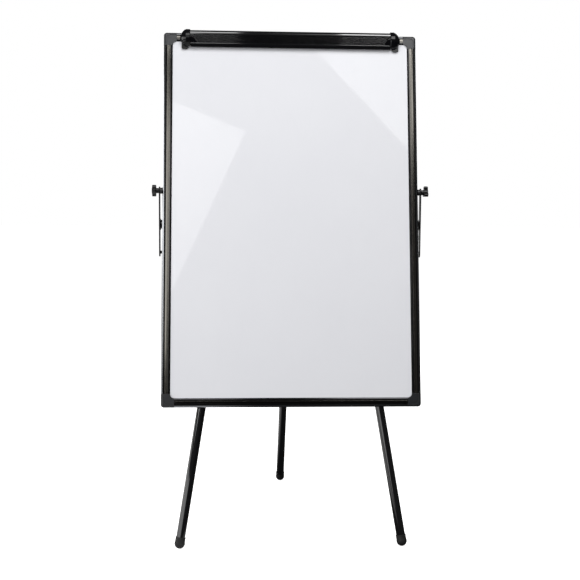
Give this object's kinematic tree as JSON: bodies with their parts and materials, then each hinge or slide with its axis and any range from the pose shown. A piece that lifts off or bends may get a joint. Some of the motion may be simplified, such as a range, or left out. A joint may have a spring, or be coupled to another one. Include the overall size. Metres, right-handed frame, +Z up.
{
  "type": "flipchart easel",
  "caption": "Free-standing tripod easel: a framed dry-erase board with a sprung paper clamp, tilting between side knobs on folding telescopic legs.",
  "frame": {"origin": "on the floor, at the centre of the footprint between the front feet and the rear foot", "axes": "+Z up, the writing face looks towards -Y, +X to the right as seen from behind the writer facing the board"},
  "size_m": [0.6922, 0.6196, 1.276],
  "materials": {
    "frame_aluminium": "black anodised extrusion, satin",
    "corner_plastic": "moulded, fine texture",
    "white_enamel": "gloss white dry-erase enamel",
    "honeycomb_board": "raw honeycomb card",
    "zinc_steel_sheet": "galvanised sheet",
    "zinc_steel": "zinc plated",
    "black_nylon": "moulded, fine texture",
    "black_steel": "semi-gloss powder coat",
    "clamp_plastic": "gloss",
    "black_rubber": "matt",
    "knob_plastic": "moulded, semi-matt",
    "tube_enamel": "gloss black enamel",
    "grey_nylon": "natural moulding"
  },
  "bodies": {
    "stand": {"crossbar": "tube_enamel", "crossbar_plugs": "zinc_steel", "side_plate_left": "black_steel", "side_plate_right": "black_steel", "side_plate_screws": "zinc_steel", "stop_pegs": "black_steel", "stop_bumpers": "black_rubber", "leg_bracket_left": "black_nylon", "leg_bracket_right": "black_nylon", "leg_bracket_rear": "black_nylon", "leg_bolts": "zinc_steel", "leg_nuts": "zinc_steel"},
    "board": {"rail_top": "frame_aluminium", "rail_bottom": "frame_aluminium", "rail_left": "frame_aluminium", "rail_right": "frame_aluminium", "corner_cap_top_left": "corner_plastic", "corner_cap_top_right": "corner_plastic", "corner_cap_bottom_left": "corner_plastic", "corner_cap_bottom_right": "corner_plastic", "writing_sheet": "white_enamel", "panel_core": "honeycomb_board", "backing_sheet": "zinc_steel_sheet", "frame_screws": "zinc_steel", "knob_inserts": "zinc_steel", "pivot_spacers": "black_nylon", "clamp_base": "black_steel", "clamp_bracket_left": "black_steel", "clamp_bracket_right": "black_steel", "clamp_rod": "zinc_steel", "clamp_springs": "zinc_steel"},
    "paper_clamp": {"clamp_bar": "clamp_plastic", "clamp_cap_left": "clamp_plastic", "clamp_cap_right": "clamp_plastic", "clamp_grip": "black_rubber"},
    "side_knob_left": {"knob_left": "knob_plastic", "knob_stud_left": "zinc_steel"},
    "side_knob_right": {"knob_right": "knob_plastic", "knob_stud_right": "zinc_steel"},
    "upper_leg_left": {"upper_tube_left": "tube_enamel", "leg_plug_left": "black_nylon", "collar_left": "black_nylon"},
    "lower_leg_left": {"lower_tube_left": "tube_enamel", "slide_bush_left": "grey_nylon", "foot_left": "black_rubber"},
    "leg_lock_left": {"lock_screw_left": "knob_plastic"},
    "upper_leg_right": {"upper_tube_right": "tube_enamel", "leg_plug_right": "black_nylon", "collar_right": "black_nylon"},
    "lower_leg_right": {"lower_tube_right": "tube_enamel", "slide_bush_right": "grey_nylon", "foot_right": "black_rubber"},
    "leg_lock_right": {"lock_screw_right": "knob_plastic"},
    "upper_leg_rear": {"upper_tube_rear": "tube_enamel", "leg_plug_rear": "black_nylon", "collar_rear": "black_nylon"},
    "lower_leg_rear": {"lower_tube_rear": "tube_enamel", "slide_bush_rear": "grey_nylon", "foot_rear": "black_rubber"},
    "leg_lock_rear": {"lock_screw_rear": "knob_plastic"}
  },
  "joints": [
    {"name": "board_tilt", "type": "hinge", "parent": "stand", "child": "board", "pos_m": [0, -0.169, 0.87], "axis": [-1, 0, 0], "range_deg": [0, 79.5]},
    {"name": "clamp_open", "type": "hinge", "parent": "board", "child": "paper_clamp", "pos_m": [0, -0.11331, 1.26374], "axis": [-1, 0, 0], "range_deg": [0, 35]},
    {"name": "knob_left_turn", "type": "hinge", "parent": "board", "child": "side_knob_left", "pos_m": [-0.34, -0.169, 0.87], "axis": [-1, 0, 0], "range_deg": [0, 720]},
    {"name": "knob_right_turn", "type": "hinge", "parent": "board", "child": "side_knob_right", "pos_m": [0.34, -0.169, 0.87], "axis": [1, 0, 0], "range_deg": [0, 720]},
    {"name": "leg_fold_left", "type": "hinge", "parent": "stand", "child": "upper_leg_left", "pos_m": [-0.156, -0.15443, 0.75261], "axis": [0, -0.982, 0.1891], "range_deg": [0, 8.82]},
    {"name": "leg_slide_left", "type": "slide", "parent": "upper_leg_left", "child": "lower_leg_left", "axis": [-0.1534, -0.1869, -0.9703], "range_m": [-0.014, 0.24]},
    {"name": "lock_turn_left", "type": "hinge", "parent": "upper_leg_left", "child": "leg_lock_left", "pos_m": [-0.21888, -0.23106, 0.35478], "axis": [0, 0.982, -0.1891], "range_deg": [0, 720]},
    {"name": "leg_fold_right", "type": "hinge", "parent": "stand", "child": "upper_leg_right", "pos_m": [0.156, -0.15443, 0.75261], "axis": [0, 0.982, -0.1891], "range_deg": [0, 8.82]},
    {"name": "leg_slide_right", "type": "slide", "parent": "upper_leg_right", "child": "lower_leg_right", "axis": [0.1534, -0.1869, -0.9703], "range_m": [-0.014, 0.24]},
    {"name": "lock_turn_right", "type": "hinge", "parent": "upper_leg_right", "child": "leg_lock_right", "pos_m": [0.21888, -0.23106, 0.35478], "axis": [0, 0.982, -0.1891], "range_deg": [0, 720]},
    {"name": "leg_fold_rear", "type": "hinge", "parent": "stand", "child": "upper_leg_rear", "pos_m": [0, -0.13105, 0.75653], "axis": [-1, 0, 0], "range_deg": [0, 40.81]},
    {"name": "leg_slide_rear", "type": "slide", "parent": "upper_leg_rear", "child": "lower_leg_rear", "axis": [0, 0.4986, -0.8668], "range_m": [-0.014, 0.24]},
    {"name": "lock_turn_rear", "type": "hinge", "parent": "upper_leg_rear", "child": "leg_lock_rear", "pos_m": [0, 0.07339, 0.40113], "axis": [0, 0.8668, 0.4986], "range_deg": [0, 720]}
  ]
}
